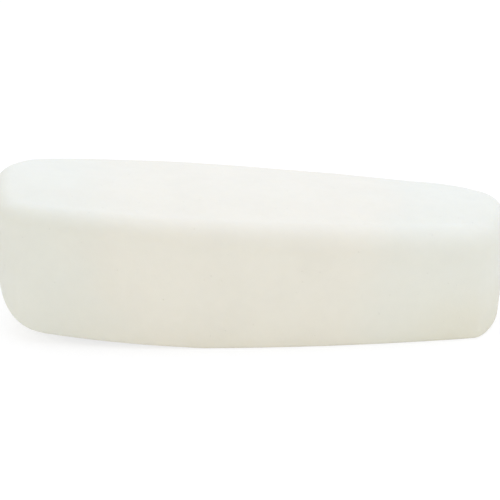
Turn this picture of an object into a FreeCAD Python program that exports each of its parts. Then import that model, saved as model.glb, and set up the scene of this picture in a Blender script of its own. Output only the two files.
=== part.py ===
"""Moulded foam seat bun of a small two-wheeler, as separate pieces.

Millimetres and degrees. X runs along the seat with the nose at +X, Y across it, Z up. The origin is at
the middle of the bun's length and width, on the plane that its lower edge stands on.

A plan outline and a side outline, both extruded, meet in one block, and a big tilted cylinder gives its
top the slope and the crown. The pan recess, the wire channel and the felts follow the same outlines.
"""
import FreeCAD
import Part
import math
import os

Vector = FreeCAD.Vector

# ---- bun, outside ------------------------------------------------------------------------------
LENGTH = 528.0
WIDEST_X = -72.5          # station of the greatest width
WIDEST_HALF = 110.0       # half of the greatest width
REAR_HALF = 77.5          # half width where the side lines reach the rear end
NOSE_HALF = 84.5          # half width where the side lines reach the nose
REAR_BULGE = 10.0         # how far the rear end arc stands out of its chord
NOSE_BULGE = 19.0
REAR_CORNER = 42.0        # plan radius between a side and the rear end
NOSE_CORNER = 50.0

TOP_HEIGHT = 135.0        # centre line of the top above the origin
TOP_SLOPE = 4.0           # fall of the top towards the nose
CROWN = 7.0               # rise of the centre line over the shoulders
SHOULDER = 20.0           # radius all round the top

KINK_X = -52.8            # where the lower edge starts to rise towards the rear
KICK_UP = 3.8             # that rise
REAR_ROLL = 53.5          # radius under the rear end
NOSE_ROLL = 6.0           # radius under the nose

# ---- pan recess --------------------------------------------------------------------------------
RECESS_DEPTH = 38.0
SIDE_SKIRT = 18.0         # skirt thickness along the sides
NOSE_SKIRT = 20.0
REAR_SKIRT = 50.0         # thick, because the rear end rolls in under the pan
RECESS_REAR_CORNER = 30.0
RECESS_NOSE_CORNER = 40.0
RECESS_FILLET = 6.0       # between the recess walls and its ceiling

# ---- backing felts -----------------------------------------------------------------------------
FELT = 3.0                # thickness
FELT_CLEARANCE = 2.0      # from the end of the recess fillet to the felt's edge
FELT_SPLIT = 6.0          # gap between the two panels at the kink

# ---- border wire and its sleeve ----------------------------------------------------------------
WIRE_RADIUS = 1.5
WIRE_HEIGHT = 12.0        # wire axis above the lower edge
WIRE_OFFSET = 6.0         # wire axis outside the recess walls
WIRE_BEND = 15.0          # radius of its two upward bends
WIRE_GAP = 1.0            # between its two ends, inside the sleeve
SLEEVE_RADIUS = 2.75
SLEEVE_LENGTH = 14.0
MOULD_CLEARANCE = 0.3     # foam channel around the wire and the sleeve
BORE_CLEARANCE = 0.05     # sleeve bore around the wire
PIN_HOLE_RADIUS = 3.0     # holes that the mould's wire supports leave in the hem
PIN_COUNT = 3             # on each side
PIN_SETBACK = 12.0        # outermost holes from the wire's corner bends

# ---- derived -----------------------------------------------------------------------------------
REAR_X = -LENGTH / 2
NOSE_X = LENGTH / 2
TALL = 2 * TOP_HEIGHT     # cutters reach well past the block
RISE = math.tan(math.radians(KICK_UP))
HALF_TILT = math.tan(math.radians(KICK_UP / 2))

RECESS_REAR_X = REAR_X + REAR_SKIRT
RECESS_NOSE_X = NOSE_X - NOSE_SKIRT
FELT_MARGIN = RECESS_FILLET + FELT_CLEARANCE
WIRE_INSET = SIDE_SKIRT - WIRE_OFFSET
WIRE_REAR_X = RECESS_REAR_X - WIRE_OFFSET
WIRE_NOSE_X = RECESS_NOSE_X + WIRE_OFFSET


def side_radius(end_x, end_half):
    """Radius of the side arc that leaves the widest station parallel to X and ends at end_x."""
    run = abs(end_x - WIDEST_X)
    drop = WIDEST_HALF - end_half
    return (run ** 2 + drop ** 2) / (2 * drop)


REAR_SIDE_RADIUS = side_radius(REAR_X, REAR_HALF)
NOSE_SIDE_RADIUS = side_radius(NOSE_X, NOSE_HALF)


def half_width(x, inset=0.0):
    """Half width of the plan outline at x, moved inwards by inset."""
    radius = REAR_SIDE_RADIUS if x < WIDEST_X else NOSE_SIDE_RADIUS
    return WIDEST_HALF - radius + math.sqrt((radius - inset) ** 2 - (x - WIDEST_X) ** 2)


def kick_height(x):
    """Height of the lower edge over the standing plane at x, without the rolls at the ends."""
    return max(0.0, (KINK_X - x) * RISE)


def arc_edge(start, middle, end):
    """Circular edge through three points."""
    return Part.Arc(Vector(*start), Vector(*middle), Vector(*end)).toShape()


def plan_block(rear_x, nose_x, inset, rear_bulge, nose_bulge, rear_corner, nose_corner, low, high):
    """Upright block on the plan outline between two ends, its four corners rounded."""
    rear_chord = rear_x + rear_bulge
    nose_chord = nose_x - nose_bulge
    rear = half_width(rear_chord, inset)
    nose = half_width(nose_chord, inset)
    widest = WIDEST_HALF - inset
    rear_mid = (rear_chord + WIDEST_X) / 2
    nose_mid = (nose_chord + WIDEST_X) / 2
    edges = []
    for side in (-1, 1):
        edges.append(arc_edge((rear_chord, side * rear, low),
                              (rear_mid, side * half_width(rear_mid, inset), low),
                              (WIDEST_X, side * widest, low)))
        edges.append(arc_edge((WIDEST_X, side * widest, low),
                              (nose_mid, side * half_width(nose_mid, inset), low),
                              (nose_chord, side * nose, low)))
    edges.append(arc_edge((rear_chord, -rear, low), (rear_x, 0, low), (rear_chord, rear, low)))
    edges.append(arc_edge((nose_chord, -nose, low), (nose_x, 0, low), (nose_chord, nose, low)))
    wire = Part.Wire(Part.__sortEdges__(edges))
    block = Part.Face(wire).extrude(Vector(0, 0, high - low))
    for chord, radius in ((rear_chord, rear_corner), (nose_chord, nose_corner)):
        corners = [e for e in block.Edges if is_upright(e) and abs(e.Vertexes[0].X - chord) < 0.01]
        block = block.makeFillet(radius, corners)
    return block


def is_upright(edge):
    """True for an edge whose two ends stand over each other."""
    ends = edge.Vertexes
    return len(ends) == 2 and math.hypot(ends[0].X - ends[1].X, ends[0].Y - ends[1].Y) < 1e-6


def side_slab(profile, half_span):
    """A closed outline in the XZ plane, extruded to both sides of it."""
    points = [Vector(x, -half_span, z) for x, z in profile]
    face = Part.Face(Part.makePolygon(points + points[:1]))
    return face.extrude(Vector(0, 2 * half_span, 0))


def outer_block():
    """Plan block cut to the kinked lower edge with its two end rolls, and to the crowned slope."""
    block = plan_block(REAR_X, NOSE_X, 0.0, REAR_BULGE, NOSE_BULGE, REAR_CORNER, NOSE_CORNER,
                       0.0, TALL)
    span = 2 * WIDEST_HALF
    rear_lift = kick_height(REAR_X)
    slab = side_slab([(REAR_X, rear_lift), (KINK_X, 0), (NOSE_X, 0), (NOSE_X, TALL), (REAR_X, TALL)],
                     span)
    for end_x, radius in ((REAR_X, REAR_ROLL), (NOSE_X, NOSE_ROLL)):
        rolled = [e for e in slab.Edges
                  if abs(e.CenterOfMass.x - end_x) < 0.01 and abs(e.CenterOfMass.y) < 0.01
                  and e.CenterOfMass.z < rear_lift + 0.01 and e.Length > span]
        slab = slab.makeFillet(radius, rolled)
    return block.common(slab).common(crown_cylinder())


def crown_cylinder():
    """The big tilted cylinder whose upper side is the sloped and crowned top."""
    chord = WIDEST_HALF - SHOULDER
    radius = (chord ** 2 + CROWN ** 2) / (2 * CROWN)
    slope = math.radians(TOP_SLOPE)
    along = Vector(math.cos(slope), 0, -math.sin(slope))
    normal = Vector(math.sin(slope), 0, math.cos(slope))
    axis_point = Vector(0, 0, TOP_HEIGHT) - normal * radius
    return Part.makeCylinder(radius, 2 * LENGTH, axis_point - along * LENGTH, along)


def round_shoulder(bun):
    """The radius all round the top, on the edges that the crown cylinder left."""
    rim = [e for e in bun.Edges if e.BoundBox.ZMin > TOP_HEIGHT / 2 and not is_upright(e)]
    return bun.makeFillet(SHOULDER, rim)


def recess_block(grow, low, high):
    """Upright block on the recess outline, moved outwards by grow."""
    return plan_block(RECESS_REAR_X - grow, RECESS_NOSE_X + grow, SIDE_SKIRT - grow, REAR_BULGE,
                      NOSE_BULGE, RECESS_REAR_CORNER + grow, RECESS_NOSE_CORNER + grow, low, high)


def level_slab(upper, lower):
    """Space between two heights above the hem, in the flat and the kicked-up part alike."""
    far_rear = REAR_X - LENGTH
    far_nose = NOSE_X + LENGTH

    def level(height):
        lift = height / math.cos(math.radians(KICK_UP)) + kick_height(far_rear)
        return (far_rear, lift), (KINK_X + height * HALF_TILT, height), (far_nose, height)

    return side_slab([*level(upper), *reversed(level(lower))], 2 * WIDEST_HALF)


def recess():
    """The space for the seat pan, open downwards."""
    space = recess_block(0.0, -TALL, TALL).common(level_slab(RECESS_DEPTH, -RECESS_DEPTH))
    ceiling = [e for e in space.Edges
               if e.BoundBox.ZMin > RECESS_DEPTH - RECESS_FILLET and not crosses(e)]
    return space.makeFillet(RECESS_FILLET, ceiling)


def crosses(edge):
    """True for the kink's own straight edge, which runs across the seat."""
    box = edge.BoundBox
    return box.XLength < 0.01 and box.ZLength < 0.01


def felts():
    """Front and rear backing panels against the recess ceiling."""
    sheet = recess_block(-FELT_MARGIN, -TALL, TALL)
    sheet = sheet.common(level_slab(RECESS_DEPTH, RECESS_DEPTH - FELT))
    gap = Part.makeBox(FELT_SPLIT, 4 * WIDEST_HALF, TALL,
                       Vector(KINK_X - FELT_SPLIT / 2, -2 * WIDEST_HALF, 0))
    rear, front = sorted(sheet.cut(gap).Solids, key=lambda panel: panel.CenterOfMass.x)
    return front, rear


def wire_height(x):
    """Height of the wire's axis at x; it runs parallel to the hem in front and behind its bend."""
    return WIRE_HEIGHT + max(0.0, (WIDEST_X - x) * RISE)


def wire_path():
    """Centre line of the wire, from one end round the nose to the other end at the rear centre.

    It bends upwards at the widest station, where its two sides run straight along X."""
    block = recess_block(WIRE_OFFSET, WIRE_HEIGHT, WIRE_HEIGHT + TALL)
    floor = [f for f in block.Faces if f.CenterOfMass.z < WIRE_HEIGHT + 0.01][0]
    opening = Part.makeBox(RECESS_REAR_CORNER, WIRE_GAP, TALL,
                           Vector(WIRE_REAR_X - 1, -WIRE_GAP / 2, WIRE_HEIGHT - TALL / 2))
    bend = Vector(WIDEST_X, 0, WIRE_HEIGHT)
    tilt = math.radians(KICK_UP)
    shift = Vector(-WIRE_BEND * math.sin(tilt), 0, WIRE_BEND * (1 - math.cos(tilt)))
    edges = []
    for edge in floor.OuterWire.cut(opening).Edges:
        if edge.CenterOfMass.x < WIDEST_X:
            edge = edge.rotated(bend, Vector(0, 1, 0), KICK_UP).translated(shift)
        edges.append(edge)
    half_shift = Vector(-WIRE_BEND * math.sin(tilt / 2), 0, WIRE_BEND * (1 - math.cos(tilt / 2)))
    for side in (-1, 1):
        start = bend + Vector(0, side * (WIDEST_HALF - WIRE_INSET), 0)
        edges.append(Part.Arc(start, start + half_shift, start + shift).toShape())
    return Part.Wire(Part.__sortEdges__(edges))


def wire_solid(radius):
    """The round wire, or with a larger radius the space around it."""
    path = wire_path()
    first = path.OrderedEdges[0]
    start = path.OrderedVertexes[0].Point
    tangent = first.tangentAt(first.Curve.parameter(start))
    profile = Part.Face(Part.Wire(Part.makeCircle(radius, start, tangent)))
    return path.makePipe(profile)


def sleeve_body(radius, clearance=0.0):
    """Cylinder across the middle of the wire's rear run, where the sleeve joins its two ends."""
    back = WIDEST_X - WIRE_REAR_X
    tilt = math.radians(KICK_UP)
    x = WIDEST_X - back * math.cos(tilt) - WIRE_BEND * math.sin(tilt)
    z = WIRE_HEIGHT + back * math.sin(tilt) + WIRE_BEND * (1 - math.cos(tilt))
    half = SLEEVE_LENGTH / 2 + clearance
    return Part.makeCylinder(radius + clearance, 2 * half, Vector(x, -half, z), Vector(0, 1, 0))


def pin_holes():
    """Upright holes from the hem to the wire, evenly spaced between its corner bends."""
    first = WIRE_REAR_X + REAR_BULGE + RECESS_REAR_CORNER + WIRE_OFFSET + PIN_SETBACK
    last = WIRE_NOSE_X - NOSE_BULGE - RECESS_NOSE_CORNER - WIRE_OFFSET - PIN_SETBACK
    holes = []
    for index in range(PIN_COUNT):
        x = first + (last - first) * index / (PIN_COUNT - 1)
        y = half_width(x, WIRE_INSET)
        top = wire_height(x)
        for side in (-1, 1):
            holes.append(Part.makeCylinder(PIN_HOLE_RADIUS, TALL, Vector(x, side * y, top - TALL)))
    return holes


def foam_bun():
    """The moulding: outer block less the recess, the wire's channel and the pin holes."""
    bun = round_shoulder(outer_block()).cut(recess())
    bun = bun.cut(wire_solid(WIRE_RADIUS + MOULD_CLEARANCE))
    bun = bun.cut(sleeve_body(SLEEVE_RADIUS, MOULD_CLEARANCE))
    return bun.cut(pin_holes())


def main():
    front, rear = felts()
    pieces = {
        "foam_bun": foam_bun(),
        "pan_felt_front": front,
        "pan_felt_rear": rear,
        "skirt_wire": wire_solid(WIRE_RADIUS),
        "wire_sleeve": sleeve_body(SLEEVE_RADIUS).cut(wire_solid(WIRE_RADIUS + BORE_CLEARANCE)),
    }
    os.makedirs("parts", exist_ok=True)
    for node, shape in pieces.items():
        shape.exportStep("parts/" + node + ".step")


main()
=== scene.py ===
"""Looks of a moulded foam seat bun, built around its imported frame.

Metres, with X along the seat towards its nose, Y across it and Z up. The foam body is a skin of rings that
follow the plan outline: a crowned top, a shoulder radius that grows towards the nose, walls that tuck in
towards the hem, a kinked hem that rolls up under both ends, and the recess for the seat pan. The channels
of the border wire and the holes of its supports are then cut into it, and the felts lie on the recess
ceiling.
"""

import math

import bmesh
import bpy
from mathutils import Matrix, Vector, noise


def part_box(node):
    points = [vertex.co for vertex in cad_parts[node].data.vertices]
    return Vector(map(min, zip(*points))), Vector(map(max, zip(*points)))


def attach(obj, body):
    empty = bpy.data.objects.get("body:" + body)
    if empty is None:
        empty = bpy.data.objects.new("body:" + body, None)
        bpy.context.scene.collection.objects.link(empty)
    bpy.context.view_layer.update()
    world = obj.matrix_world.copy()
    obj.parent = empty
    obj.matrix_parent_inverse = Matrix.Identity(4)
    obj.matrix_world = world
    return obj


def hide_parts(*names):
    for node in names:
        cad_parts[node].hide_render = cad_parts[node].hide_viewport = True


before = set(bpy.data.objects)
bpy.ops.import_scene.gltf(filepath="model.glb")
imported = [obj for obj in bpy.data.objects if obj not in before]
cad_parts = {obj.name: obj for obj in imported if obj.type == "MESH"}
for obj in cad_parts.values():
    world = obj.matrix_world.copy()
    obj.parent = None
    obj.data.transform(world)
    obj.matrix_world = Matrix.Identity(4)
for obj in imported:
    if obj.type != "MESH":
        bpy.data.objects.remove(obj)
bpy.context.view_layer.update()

MM = 0.001

# ---- places that come from the frame ---------------------------------------------------------
FOAM_LOW, FOAM_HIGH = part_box("foam_bun")
FELT_LOW, FELT_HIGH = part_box("pan_felt_front")
REAR_FELT_LOW, REAR_FELT_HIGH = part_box("pan_felt_rear")
REAR_X, NOSE_X = FOAM_LOW.x, FOAM_HIGH.x
WIDEST_HALF = FOAM_HIGH.y
CEILING = FELT_HIGH.z

# ---- plan outline: at the shoulder, and at the hem where the corners are tighter --------------
WIDEST_X = -72.5 * MM         # station of the greatest width
REAR_DROP = 32.5 * MM         # loss of half width from there to the rear end
NOSE_DROP = 25.4 * MM
FULLNESS = 2.2 * MM
SHOULDER_REAR = (44.8 * MM, 3.24)      # length and squareness of an end's rounding
SHOULDER_NOSE = (76.3 * MM, 2.90)
HEM_REAR = (41.6 * MM, 2.84)
HEM_NOSE = (38 * MM, 1.6)

# ---- side view -------------------------------------------------------------------------------
TOP_LEVEL = 128.3 * MM        # shoulder level of the top at the middle of the length
TOP_SLOPE = -0.070            # its slope along X
CROWN = 6.7 * MM
REAR_SHOULDER, NOSE_SHOULDER = 19 * MM, 33.6 * MM       # shoulder radius along the sides
REAR_BROW, NOSE_BROW = 19.6 * MM, 17.9 * MM             # and over the two ends
WALL_DRAFT = math.tan(math.radians(2.3))
KINK_X = -52.8 * MM
KICK_UP = math.tan(math.radians(3.8))
REAR_ROLL, NOSE_ROLL = 53.8 * MM, 5.6 * MM
HEM = 3.5 * MM                # radius on the outer edge of the hem

# ---- pan recess --------------------------------------------------------------------------------
SIDE_SKIRT, REAR_SKIRT, NOSE_SKIRT = 18 * MM, 50 * MM, 20 * MM
RECESS_REAR = (38 * MM, 2.5)
RECESS_NOSE = (48 * MM, 2.4)
RECESS_LIP = 3 * MM           # radius on the inner edge of the hem
RECESS_FILLET = 6 * MM

# ---- felts, wire and support holes ---------------------------------------------------------------
FELT = FELT_HIGH.z - FELT_LOW.z
FELT_EDGE = 8.5 * MM          # from the recess walls to the felt's cut edge
WIRE_INSET = 12 * MM
WIRE_HEIGHT = 12 * MM
CHANNEL_ROOM = 0.3 * MM
PIN_RADIUS = 3 * MM
PIN_STATIONS = (-162 * MM, 5.5 * MM, 173 * MM)
PIN_START = -5 * MM           # the plugs that cut the holes begin below the hem
FELT_CUT = 0.5 * MM           # the felts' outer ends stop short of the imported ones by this
FELT_CORNER = (5 * MM, 2.0)   # corners of the cut at the kink
FELT_EDGE_ROUND = 0.6 * MM
FELT_BOND, FELT_SAG = 0.35 * MM, 0.3 * MM               # from the ceiling, and short of full thickness

# ---- unevenness: size of the waves and their height ------------------------------------------
SKIN_WAVES = ((70 * MM, 0.7 * MM), (24 * MM, 0.22 * MM))
FELT_WAVES = ((9 * MM, 0.16 * MM), (3.4 * MM, 0.12 * MM))
HEM_STEADY, HEM_RAMP = 4 * MM, 20 * MM                  # the skin's waves start above the hem

# ---- camera and light --------------------------------------------------------------------------
CAMERA_AIM = Vector((-1.5 * MM, 0, 65.4 * MM))
CAMERA_DISTANCE = 1.8
CAMERA_ELEVATION = math.radians(20.75)
CAMERA_TURN = math.radians(1.56)        # from square to the seat's side
SENSOR, LENS = 36, 124.17
SOFTBOXES = (("top_softbox", (0.25, 0.5, 1.8), (2.6, 2.0), 24.5, (0.63, 0.72, 1.0)),
             ("front_softbox", (0.0, -2.6, 0.7), (2.4, 1.6), 4.5, (1.0, 0.97, 0.92)))
FLOOR_HALF = 20

# ---- mesh density ------------------------------------------------------------------------------
LONG, ACROSS = 84, 36         # segments of the outline along a side and round an end
SHOULDER_RINGS, WALL_RINGS, HEM_RINGS, LIP_RINGS, FILLET_RINGS = 9, 12, 4, 3, 4
RIM_SHARES = (0.12, 0.3, 0.5, 0.7, 0.88, 1.0)           # rings across the hem
RECESS_WALL = (-26 * MM, -18 * MM, -11 * MM)            # rings on the recess wall, from the ceiling
OUTLINE_STEPS = 4000          # points that an outline is measured with
RELAX_PASSES = 40             # evening out of a patch's inner points
PIN_SEGMENTS = 28
WELD = 0.02 * MM              # points of two patches closer than this are one
SAME_POINT = 0.001 * MM


# ==== outline and levels ========================================================================
def end_round(distance, rounding):
    """Share of the width that is left at a distance inside an end's rounding."""
    length, power = rounding
    d = max(0.0, min(1.0, 1 - distance / length))
    return max(0.0, 1 - d ** power) ** (1 / power)


def side_half(x):
    """Half width of the side lines at x, as if they ran on past the rounded ends."""
    if x < WIDEST_X:
        return WIDEST_HALF - REAR_DROP * ((x - WIDEST_X) / (REAR_X - WIDEST_X)) ** 2
    return WIDEST_HALF - NOSE_DROP * ((x - WIDEST_X) / (NOSE_X - WIDEST_X)) ** 2


def outer_half(x):
    """The side lines with the slight fullness of the foam between the widest place and the nose."""
    share = max(0.0, (x - WIDEST_X) / (NOSE_X - WIDEST_X))
    return side_half(x) + FULLNESS * 4 * share * (1 - share)


def shoulder_half(x):
    return outer_half(x) * end_round(x - REAR_X, SHOULDER_REAR) * end_round(NOSE_X - x, SHOULDER_NOSE)


def hem_half(x):
    return outer_half(x) * end_round(x - REAR_X, HEM_REAR) * end_round(NOSE_X - x, HEM_NOSE)


def recess_half(x, inset=0.0):
    rear, nose = REAR_X + REAR_SKIRT + inset, NOSE_X - NOSE_SKIRT - inset
    return ((side_half(x) - SIDE_SKIRT - inset) * end_round(x - rear, RECESS_REAR)
            * end_round(nose - x, RECESS_NOSE))


def outline(half, rear, nose, count):
    """Evenly spaced plan points round a half-width law, from the rear centre along -Y."""
    fine = [Vector((rear, 0, 0))]
    for i in range(OUTLINE_STEPS + 1):
        x = (rear + nose) / 2 - (nose - rear) / 2 * math.cos(math.pi * i / OUTLINE_STEPS)
        fine.append(Vector((x, -half(x), 0)))
    fine.append(Vector((nose, 0, 0)))
    length = [0.0]
    for a, b in zip(fine, fine[1:]):
        length.append(length[-1] + (b - a).length)
    near, at = [], 0
    for k in range(count // 2 + 1):
        target = length[-1] * k / (count // 2)
        while at < len(fine) - 2 and length[at + 1] < target:
            at += 1
        run = length[at + 1] - length[at]
        share = (target - length[at]) / run if run else 0.0
        near.append(fine[at].lerp(fine[at + 1], min(1.0, max(0.0, share))))
    far = [Vector((p.x, -p.y, 0)) for p in near[1:-1]]
    return near + far[::-1]


def inward(points):
    """Unit normals of a closed outline, pointing into it."""
    normals = []
    for k in range(len(points)):
        along = points[(k + 1) % len(points)] - points[k - 1]
        normals.append(Vector((-along.y, along.x, 0)).normalized())
    return normals


def side_shoulder(x):
    share = (x - REAR_X) / (NOSE_X - REAR_X)
    return REAR_SHOULDER + (NOSE_SHOULDER - REAR_SHOULDER) * share


def shoulder_radius(p, n):
    """Radius over the sides, blending into the brow radius where the outline turns across an end."""
    brow = REAR_BROW if p.x < 0 else NOSE_BROW
    return side_shoulder(p.x) * n.y ** 2 + brow * n.x ** 2


def top_z(x, y):
    """The sloped, crowned top."""
    f = min(1.0, abs(y) / (side_half(x) - side_shoulder(x)))
    return TOP_LEVEL + TOP_SLOPE * x + CROWN * (1 - f * f) ** 1.3


def kick_z(x):
    return max(0.0, (KINK_X - x) * KICK_UP)


def hem_z(x):
    """The kinked lower edge with its two end rolls."""
    z = kick_z(x)
    for reach, radius in ((x - REAR_X, REAR_ROLL), (NOSE_X - x, NOSE_ROLL)):
        d = max(0.0, min(1.0, 1 - reach / radius))
        z += radius * (1 - math.sqrt(1 - d * d))
    return z


def ceiling_z(x, y=0.0):
    return CEILING + kick_z(x)


# ==== mesh helpers ==============================================================================
def patch(loop, along, across, level):
    """A grid of along by across faces whose rim is the loop, at the level given for each point."""
    bm = bmesh.new()
    bmesh.ops.create_grid(bm, x_segments=along, y_segments=across, size=0.5)
    count, half = len(loop), across // 2
    near = [loop[(half + i) % count] for i in range(along + 1)]
    nose = [loop[(half + along + j) % count] for j in range(across + 1)]
    far = [loop[(half + 2 * along + across - i) % count] for i in range(along + 1)]
    rear = [loop[(half - j) % count] for j in range(across + 1)]
    for v in bm.verts:
        i, j = round((v.co.x + 0.5) * along), round((v.co.y + 0.5) * across)
        s, t = i / along, j / across
        edge = near[i].lerp(far[i], t) + rear[j].lerp(nose[j], s)
        corner = near[0].lerp(near[-1], s).lerp(far[0].lerp(far[-1], s), t)
        v.co = edge - corner
    inner = [v for v in bm.verts if not v.is_boundary]
    for _ in range(RELAX_PASSES):
        bmesh.ops.smooth_vert(bm, verts=inner, factor=0.5, use_axis_x=True, use_axis_y=True)
    for v in bm.verts:
        v.co.z = level(v.co.x, v.co.y)
    return bm


def rim_in_order(bm, loop):
    """The patch's rim vertices in the outline's order."""
    left = [v for v in bm.verts if v.is_boundary]
    found = []
    for p in loop:
        best = min(left, key=lambda v: (v.co.x - p.x) ** 2 + (v.co.y - p.y) ** 2)
        left.remove(best)
        found.append(best)
    return found


def grow_ring(bm, ring, places):
    """Extrudes a closed ring of vertices and puts the new ring at the places given in its order."""
    edges = [bm.edges.get((ring[k - 1], ring[k])) for k in range(len(ring))]
    made = bmesh.ops.extrude_edge_only(bm, edges=edges)["geom"]
    new = {v for v in made if isinstance(v, bmesh.types.BMVert)}
    following = []
    for old in ring:
        following.append(next(e.other_vert(old) for e in old.link_edges if e.other_vert(old) in new))
    for v, place in zip(following, places):
        v.co = place
    return following


def add_patch(bm, loop, along, across, level):
    """Closes a ring with a second patch; its rim is welded on when the mesh is finished."""
    lid = patch([Vector((p.x, p.y, 0)) for p in loop], along, across, level)
    mesh = bpy.data.meshes.new("lid")
    lid.to_mesh(mesh)
    lid.free()
    bm.from_mesh(mesh)
    bpy.data.meshes.remove(mesh)


def finish_mesh(bm, name, merge=SAME_POINT):
    bmesh.ops.remove_doubles(bm, verts=bm.verts, dist=merge)
    bmesh.ops.recalc_face_normals(bm, faces=bm.faces)
    mesh = bpy.data.meshes.new(name)
    bm.to_mesh(mesh)
    bm.free()
    for polygon in mesh.polygons:
        polygon.use_smooth = True
    piece = bpy.data.objects.new(name, mesh)
    bpy.context.scene.collection.objects.link(piece)
    return piece


def apply_modifiers(piece):
    """Makes the modified shape the piece's own mesh."""
    shaped = piece.evaluated_get(bpy.context.evaluated_depsgraph_get())
    mesh = bpy.data.meshes.new_from_object(shaped)
    piece.modifiers.clear()
    old = piece.data
    piece.data = mesh
    bpy.data.meshes.remove(old)
    mesh.name = piece.name


def smooth_piece(piece, levels):
    modifier = piece.modifiers.new("smooth", "SUBSURF")
    modifier.levels = levels
    modifier.render_levels = levels
    apply_modifiers(piece)


def cut_away(piece, cutter):
    """Cuts a closed cutter out of the piece and removes the cutter."""
    modifier = piece.modifiers.new("cut", "BOOLEAN")
    modifier.operation = "DIFFERENCE"
    modifier.solver = "MANIFOLD"
    modifier.object = cutter
    apply_modifiers(piece)
    bpy.data.objects.remove(cutter)


# ==== foam body =================================================================================
def wave(place, size, height):
    return noise.noise(place / size) * height


def push_out(bm, amount):
    """Moves every vertex along its normal by the amount that holds for its place."""
    bm.normal_update()
    shifts = [v.normal * amount(v.co) for v in bm.verts]
    for v, shift in zip(bm.verts, shifts):
        v.co += shift


def foam_rings(shoulder_line, hem_line, recess_line):
    """Places of every ring from the crowned patch's edge, over wall and hem, to the recess ceiling."""
    upper_in, hem_in, recess_in = inward(shoulder_line), inward(hem_line), inward(recess_line)
    radii = [shoulder_radius(p, n) for p, n in zip(shoulder_line, upper_in)]
    count = len(shoulder_line)
    quarter = math.pi / 2
    rings = []

    def shoulder(angle):
        ring = []
        for p, n, radius in zip(shoulder_line, upper_in, radii):
            q = p + n * radius * (1 - math.sin(angle))
            q.z = top_z(q.x, q.y) - radius * (1 - math.cos(angle))
            ring.append(q)
        return ring

    def wall(share):
        ring = []
        for k in range(count):
            high = top_z(shoulder_line[k].x, shoulder_line[k].y) - radii[k]
            drop = (high - hem_z(hem_line[k].x) - HEM) * share
            q = shoulder_line[k].lerp(hem_line[k], share) + hem_in[k] * drop * WALL_DRAFT
            q.z = high - drop
            ring.append(q)
        return ring

    foot = wall(1.0)

    def hem(angle):
        ring = []
        for p, n in zip(foot, hem_in):
            q = p + n * HEM * (1 - math.cos(angle))
            q.z = min(p.z, hem_z(q.x) + HEM * (1 - math.sin(angle)))
            ring.append(q)
        return ring

    hem_inner = hem(quarter)

    def rim(share):
        ring = []
        for p, r, m in zip(hem_inner, recess_line, recess_in):
            lip = r - m * RECESS_LIP
            q = Vector((p.x, p.y, 0)).lerp(lip, share)
            q.z = hem_z(q.x)
            ring.append(q)
        return ring

    def recess(inset, height):
        """A ring on the recess wall; the height is over the hem, or below the ceiling if negative."""
        ring = []
        for r, m in zip(recess_line, recess_in):
            q = r + m * inset
            q.z = hem_z(q.x) + height if height > 0 else ceiling_z(q.x) + height
            ring.append(q)
        return ring

    rings += [shoulder(quarter * k / SHOULDER_RINGS) for k in range(1, SHOULDER_RINGS + 1)]
    rings += [wall(k / WALL_RINGS) for k in range(1, WALL_RINGS + 1)]
    rings += [hem(quarter * k / HEM_RINGS) for k in range(1, HEM_RINGS + 1)]
    rings += [rim(share) for share in RIM_SHARES]
    for k in range(1, LIP_RINGS + 1):
        angle = quarter * k / LIP_RINGS
        rings.append(recess(-RECESS_LIP * (1 - math.sin(angle)), RECESS_LIP * (1 - math.cos(angle))))
    rings += [recess(0.0, height) for height in RECESS_WALL]
    for k in range(FILLET_RINGS + 1):
        angle = quarter * k / FILLET_RINGS
        rings.append(recess(RECESS_FILLET * (1 - math.cos(angle)),
                            -RECESS_FILLET * (1 - math.sin(angle))))
    return rings


def build_foam():
    count = 2 * (LONG + ACROSS)
    shoulder_line = outline(shoulder_half, REAR_X, NOSE_X, count)
    hem_line = outline(hem_half, REAR_X, NOSE_X, count)
    recess_line = outline(recess_half, REAR_X + REAR_SKIRT, NOSE_X - NOSE_SKIRT, count)
    edge = [p + n * shoulder_radius(p, n) for p, n in zip(shoulder_line, inward(shoulder_line))]
    bm = patch(edge, LONG, ACROSS, top_z)
    ring = rim_in_order(bm, edge)
    for places in foam_rings(shoulder_line, hem_line, recess_line):
        ring = grow_ring(bm, ring, places)
    add_patch(bm, [v.co for v in ring], LONG, ACROSS, ceiling_z)
    foam = finish_mesh(bm, "foam_body", merge=WELD)
    settle_skin(foam.data)
    smooth_piece(foam, 1)
    cut_away(foam, swollen_copy("skirt_wire", CHANNEL_ROOM))
    cut_away(foam, swollen_copy("wire_sleeve", CHANNEL_ROOM))
    cut_away(foam, pin_plugs())
    foam.data.set_sharp_from_angle(angle=math.radians(50))
    return foam


def settle_skin(mesh):
    """The slight unevenness of a foam skin that has cured and shrunk out of its mould."""
    def unevenness(place):
        free = min(1.0, max(0.0, (place.z - hem_z(place.x) - HEM_STEADY) / HEM_RAMP))
        return free * (wave(place, *SKIN_WAVES[0]) + wave(place + Vector((5, 3, 1)), *SKIN_WAVES[1]))

    bm = bmesh.new()
    bm.from_mesh(mesh)
    push_out(bm, unevenness)
    bm.to_mesh(mesh)
    bm.free()


def swollen_copy(node, room):
    """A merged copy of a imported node, swollen by the room that its channel leaves."""
    bm = bmesh.new()
    bm.from_mesh(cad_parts[node].data)
    bmesh.ops.remove_doubles(bm, verts=bm.verts, dist=SAME_POINT)
    push_out(bm, lambda place: room)
    return finish_mesh(bm, node + "_channel", merge=SAME_POINT / 10)


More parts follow.
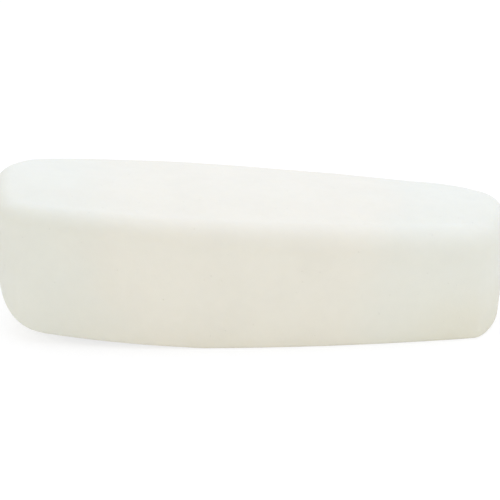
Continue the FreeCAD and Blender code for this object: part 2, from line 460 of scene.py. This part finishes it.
def pin_plugs():
    """Upright plugs for the holes that the mould's wire supports leave in the hem."""
    bm = bmesh.new()
    for x in PIN_STATIONS:
        top = WIRE_HEIGHT + max(0.0, (WIDEST_X - x) * KICK_UP)
        for side in (-1, 1):
            made = bmesh.ops.create_cone(bm, cap_ends=True, segments=PIN_SEGMENTS, radius1=PIN_RADIUS,
                                         radius2=PIN_RADIUS, depth=top - PIN_START)
            place = Vector((x, side * (side_half(x) - WIRE_INSET), (top + PIN_START) / 2))
            bmesh.ops.translate(bm, verts=made["verts"], vec=place)
    return finish_mesh(bm, "pin_plugs")


# ==== felts =====================================================================================
def build_felt(name, rear, nose, cut_at_nose, along, across):
    """A cut panel of needled felt on the recess ceiling; its square end is at the kink."""
    def half(x):
        to_cut = nose - x if cut_at_nose else x - rear
        return recess_half(x, FELT_EDGE) * end_round(to_cut, FELT_CORNER)

    count = 2 * (along + across)
    line = outline(half, rear, nose, count)
    inner = [p + n * FELT_EDGE_ROUND for p, n in zip(line, inward(line))]

    def face(depth):
        def level(x, y):
            place = Vector((x, y, depth))
            return ceiling_z(x) - depth + sum(wave(place, *kind) for kind in FELT_WAVES)
        return level

    top, bottom = face(FELT_BOND), face(FELT - FELT_SAG)
    bm = patch(inner, along, across, bottom)
    ring = rim_in_order(bm, inner)
    for share, out in ((0.18, 0.8), (0.5, 1.0), (0.82, 0.8)):
        places = []
        for p, q in zip(line, inner):
            r = q.lerp(p, out) + (q - p) * 0.5 * noise.noise(p / (6 * MM) + Vector((0, 0, share)))
            r.z = bottom(r.x, r.y) * (1 - share) + top(r.x, r.y) * share
            places.append(r)
        ring = grow_ring(bm, ring, places)
    ring = grow_ring(bm, ring, [Vector((q.x, q.y, top(q.x, q.y))) for q in inner])
    add_patch(bm, inner, along, across, top)
    felt = finish_mesh(bm, name, merge=WELD)
    area = 0.0
    for k in range(count):
        area += (line[k - 1].x * line[k].y - line[k].x * line[k - 1].y) / 2
    return felt, abs(area), (2 * max(p.y for p in line), nose - rear)


# ==== finishes ==================================================================================
class Finish:
    """A node material, with a few short words for its usual nodes."""

    def __init__(self, name, roughness, specular):
        self.material = bpy.data.materials.new(name)
        self.material.use_nodes = True
        self.tree = self.material.node_tree
        self.shader = self.tree.nodes["Principled BSDF"]
        self.shader.inputs["Roughness"].default_value = roughness
        self.shader.inputs["Specular IOR Level"].default_value = specular
        self.place = self.tree.nodes.new("ShaderNodeTexCoord").outputs["Object"]

    def node(self, kind, values=None, **settings):
        made = self.tree.nodes.new("ShaderNode" + kind)
        for key, value in settings.items():
            setattr(made, key, value)
        for key, value in (values or {}).items():
            if isinstance(value, bpy.types.NodeSocket):
                self.tree.links.new(value, made.inputs[key])
            else:
                made.inputs[key].default_value = value
        return made

    def link(self, output, name):
        self.tree.links.new(output, self.shader.inputs[name])

    def clouds(self, size, detail=2.0, stretch=(1, 1, 1)):
        """Noise from 0 to 1 whose patches are about size long."""
        mapping = self.node("Mapping", {"Vector": self.place, "Scale": stretch})
        return self.node("TexNoise", {"Vector": mapping.outputs[0], "Scale": 1 / size,
                                      "Detail": detail, "Roughness": 0.55}).outputs["Fac"]

    def steps(self, value, low, high, out_low=0.0, out_high=1.0):
        return self.node("MapRange", {"Value": value, "From Min": low, "From Max": high,
                                      "To Min": out_low, "To Max": out_high},
                         interpolation_type="SMOOTHSTEP").outputs["Result"]

    def math(self, operation, a, b=0.0):
        return self.node("Math", {0: a, 1: b}, operation=operation).outputs[0]

    def mix(self, share, a, b, blend="MIX"):
        return self.node("Mix", {0: share, 6: a, 7: b}, data_type="RGBA", blend_type=blend).outputs[2]

    def shaded(self, tone, shade):
        """The tone times a gray."""
        gray = self.node("CombineColor", {"Red": shade, "Green": shade, "Blue": shade}).outputs[0]
        return self.mix(1.0, tone, gray, "MULTIPLY")

    def bump(self, height, strength, distance, below=None):
        values = {"Height": height, "Strength": strength, "Distance": distance}
        if below is not None:
            values["Normal"] = below
        return self.node("Bump", values).outputs["Normal"]


def foam_finish():
    """Off-white self-skinned foam: faint clouds, warmer in the middle, painted shade low at the nose and
    in the pinholes, fine cells.
    """
    f = Finish("foam_skin", roughness=0.78, specular=0.25)
    middle = (0.77, 0.745, 0.645, 1)
    ends = (0.748, 0.748, 0.66, 1)
    # painted shade: a darker, yellower tone for the wall low at the nose, near the hem
    painted_shade_low_nose = (0.738, 0.722, 0.612, 1)
    x, _, z = f.node("SeparateXYZ", {"Vector": f.place}).outputs
    sway = f.math("MULTIPLY", f.math("SUBTRACT", f.clouds(90 * MM), 0.5), 120 * MM)
    reach = f.math("ABSOLUTE", f.math("ADD", f.math("ADD", x, 10 * MM), sway))
    tone = f.mix(f.steps(reach, 90 * MM, 200 * MM), middle, ends)
    # painted shade: the darker tone fades in towards the hem at the nose, where the floor shades the wall
    low = f.math("MULTIPLY", f.steps(z, 75 * MM, 15 * MM), f.steps(x, 120 * MM, 210 * MM))
    tone = f.mix(low, tone, painted_shade_low_nose)
    broad = f.steps(f.clouds(60 * MM, 2), 0.3, 0.7, 0.99, 1.01)
    fine = f.steps(f.clouds(11 * MM, 3), 0.3, 0.7, 0.994, 1.006)
    shade = f.math("MULTIPLY", broad, fine)
    cells = f.node("TexVoronoi", {"Vector": f.place, "Scale": 1 / (0.9 * MM)}).outputs["Distance"]
    spots = f.node("TexVoronoi", {"Vector": f.place, "Scale": 1 / (13 * MM)}).outputs["Distance"]
    pits = f.steps(spots, 0.035, 0.06)
    # painted shade: the colour is darker in the pinholes, as the shade inside them would make it
    shade = f.math("MULTIPLY", shade, f.steps(pits, 0.0, 1.0, 0.93, 1.0))
    f.link(f.shaded(tone, shade), "Base Color")
    skin = f.bump(f.clouds(5 * MM, 4), 0.25, 0.5 * MM)
    skin = f.bump(cells, 0.12, 0.25 * MM, skin)
    skin = f.bump(pits, 0.6, 0.5 * MM, skin)
    f.link(skin, "Normal")
    f.shader.inputs["Subsurface Weight"].default_value = 0.12
    f.shader.inputs["Subsurface Radius"].default_value = (1.0, 0.85, 0.6)
    f.shader.inputs["Subsurface Scale"].default_value = 3 * MM
    return f.material


def felt_finish():
    """Grey-beige needled felt: mixed fibres that lie every way, and the needle pricks."""
    f = Finish("needled_felt", roughness=0.95, specular=0.1)
    fibres = f.math("MULTIPLY", f.clouds(2.2 * MM, 5, (1, 0.25, 1)), f.clouds(2.2 * MM, 5, (0.25, 1, 1)))
    tone = f.mix(f.steps(fibres, 0.12, 0.4), (0.16, 0.15, 0.135, 1), (0.42, 0.4, 0.355, 1))
    tone = f.mix(f.steps(f.clouds(1.1 * MM, 2), 0.64, 0.72), tone, (0.6, 0.56, 0.48, 1))
    f.link(f.shaded(tone, f.steps(f.clouds(30 * MM, 2), 0.3, 0.7, 0.9, 1.08)), "Base Color")
    pricks = f.node("TexVoronoi", {"Vector": f.place, "Scale": 1 / (2.6 * MM)}).outputs["Distance"]
    nap = f.bump(fibres, 0.7, 0.8 * MM)
    f.link(f.bump(f.steps(pricks, 0.08, 0.3), 0.5, 0.5 * MM, nap), "Normal")
    f.shader.inputs["Sheen Weight"].default_value = 0.3
    f.shader.inputs["Sheen Roughness"].default_value = 0.6
    return f.material


def wire_finish():
    """Drawn steel: fine lines along the draw, a film of oil in patches, and a little bloom of rust."""
    f = Finish("drawn_steel", roughness=0.4, specular=0.5)
    f.shader.inputs["Metallic"].default_value = 1.0
    lines = f.clouds(1.2 * MM, 3, (0.06, 1, 1))
    tone = f.mix(f.steps(lines, 0.3, 0.7), (0.4, 0.39, 0.37, 1), (0.56, 0.55, 0.53, 1))
    rust = f.steps(f.clouds(16 * MM, 5), 0.6, 0.74, 0.0, 0.55)
    f.link(f.mix(rust, tone, (0.24, 0.13, 0.07, 1)), "Base Color")
    f.link(f.steps(f.clouds(7 * MM, 3), 0.3, 0.7, 0.3, 0.5), "Roughness")
    f.link(f.bump(lines, 0.3, 0.05 * MM), "Normal")
    return f.material


def sleeve_finish():
    """Zinc-plated sleeve with the shallow bites of the crimping tool."""
    f = Finish("zinc_sleeve", roughness=0.35, specular=0.5)
    f.shader.inputs["Metallic"].default_value = 1.0
    spangle = f.node("TexVoronoi", {"Vector": f.place, "Scale": 1 / (1.6 * MM)}).outputs["Color"]
    grain = f.node("SeparateColor", {"Color": spangle}).outputs[0]
    f.link(f.mix(f.steps(grain, 0.0, 1.0, 0.1, 0.9), (0.52, 0.52, 0.51, 1), (0.68, 0.68, 0.67, 1)),
           "Base Color")
    f.link(f.steps(grain, 0.0, 1.0, 0.26, 0.44), "Roughness")
    bites = f.node("TexWave", {"Vector": f.place, "Scale": 1 / (3.2 * MM) / 6.283, "Distortion": 0.0},
                   wave_type="BANDS", bands_direction="Y").outputs["Fac"]
    f.link(f.bump(bites, 0.6, 0.5 * MM), "Normal")
    return f.material


def set_finish(piece, material):
    """Gives a piece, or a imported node, its only material."""
    if not piece.material_slots:
        piece.data.materials.append(material)
    for slot in piece.material_slots:
        slot.material = material


# ==== stage =====================================================================================
def build_floor():
    bm = bmesh.new()
    bmesh.ops.create_grid(bm, x_segments=1, y_segments=1, size=FLOOR_HALF)
    floor = finish_mesh(bm, "floor")
    f = Finish("floor_paper", roughness=0.9, specular=0.1)
    grain = f.steps(f.clouds(400 * MM, 3), 0.3, 0.7, 0.985, 1.0)
    f.link(f.shaded((0.92, 0.92, 0.92, 1), grain), "Base Color")
    f.shader.inputs["Emission Color"].default_value = (1, 1, 0.98, 1)
    f.shader.inputs["Emission Strength"].default_value = 0.1
    seen = f.node("LightPath").outputs["Is Camera Ray"]
    glow = f.node("Emission", {"Color": (1, 1, 1, 1), "Strength": 0.75})
    pale = f.node("BsdfDiffuse", {"Color": (0.28, 0.28, 0.28, 1)})
    bright = f.node("AddShader", {0: glow.outputs[0], 1: pale.outputs[0]})
    both = f.node("MixShader", {0: seen, 1: f.shader.outputs[0], 2: bright.outputs[0]})
    f.tree.links.new(both.outputs[0], f.tree.nodes["Material Output"].inputs["Surface"])
    set_finish(floor, f.material)


def softbox(name, place, size, power, colour):
    """A rectangular light that points at the middle of the seat."""
    data = bpy.data.lights.new(name, "AREA")
    data.shape = "RECTANGLE"
    data.size, data.size_y = size
    data.energy = power
    data.color = colour
    light = bpy.data.objects.new(name, data)
    light.location = place
    back = Vector(place) - Vector((0, 0, TOP_LEVEL / 2))
    light.rotation_euler = back.to_track_quat("Z", "Y").to_euler()
    light.visible_camera = False
    bpy.context.scene.collection.objects.link(light)


def build_light():
    """A white tent, a little warm, with a cool light over the seat and a weak warm one in front."""
    world = bpy.data.worlds.new("tent")
    bpy.context.scene.world = world
    world.use_nodes = True
    tree = world.node_tree
    tent = tree.nodes["Background"]
    tent.inputs["Color"].default_value = (1.0, 0.985, 0.965, 1)
    tent.inputs["Strength"].default_value = 0.85
    white = tree.nodes.new("ShaderNodeBackground")
    white.inputs["Color"].default_value = (1, 1, 1, 1)
    white.inputs["Strength"].default_value = 1.05
    seen = tree.nodes.new("ShaderNodeLightPath")
    both = tree.nodes.new("ShaderNodeMixShader")
    tree.links.new(seen.outputs["Is Camera Ray"], both.inputs[0])
    tree.links.new(tent.outputs[0], both.inputs[1])
    tree.links.new(white.outputs[0], both.inputs[2])
    tree.links.new(both.outputs[0], tree.nodes["World Output"].inputs["Surface"])

    for settings in SOFTBOXES:
        softbox(*settings)
    bpy.context.scene.view_settings.view_transform = "Standard"


def build_camera():
    level = math.cos(CAMERA_ELEVATION)
    back = Vector((-level * math.sin(CAMERA_TURN), -level * math.cos(CAMERA_TURN),
                   math.sin(CAMERA_ELEVATION)))
    data = bpy.data.cameras.new("camera")
    data.sensor_width = SENSOR
    data.lens = LENS
    camera = bpy.data.objects.new("camera", data)
    camera.location = CAMERA_AIM + back * CAMERA_DISTANCE
    camera.rotation_euler = back.to_track_quat("Z", "Y").to_euler()
    bpy.context.scene.collection.objects.link(camera)
    bpy.context.scene.camera = camera


# ==== assembly ==================================================================================
foam = build_foam()
set_finish(foam, foam_finish())
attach(foam, "root")
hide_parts("foam_bun")

felt_material = felt_finish()
for name, node, rear, nose, cut_at_nose, along, across in (
        ("felt_front", "pan_felt_front", FELT_LOW.x, FELT_HIGH.x - FELT_CUT, False, 72, 40),
        ("felt_rear", "pan_felt_rear", REAR_FELT_LOW.x + FELT_CUT, REAR_FELT_HIGH.x, True, 40, 40)):
    felt, area, flat = build_felt(name, rear, nose, cut_at_nose, along, across)
    set_finish(felt, felt_material)
    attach(felt, "root")
    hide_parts(node)

set_finish(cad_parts["skirt_wire"], wire_finish())
set_finish(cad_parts["wire_sleeve"], sleeve_finish())

build_floor()
build_light()
build_camera()
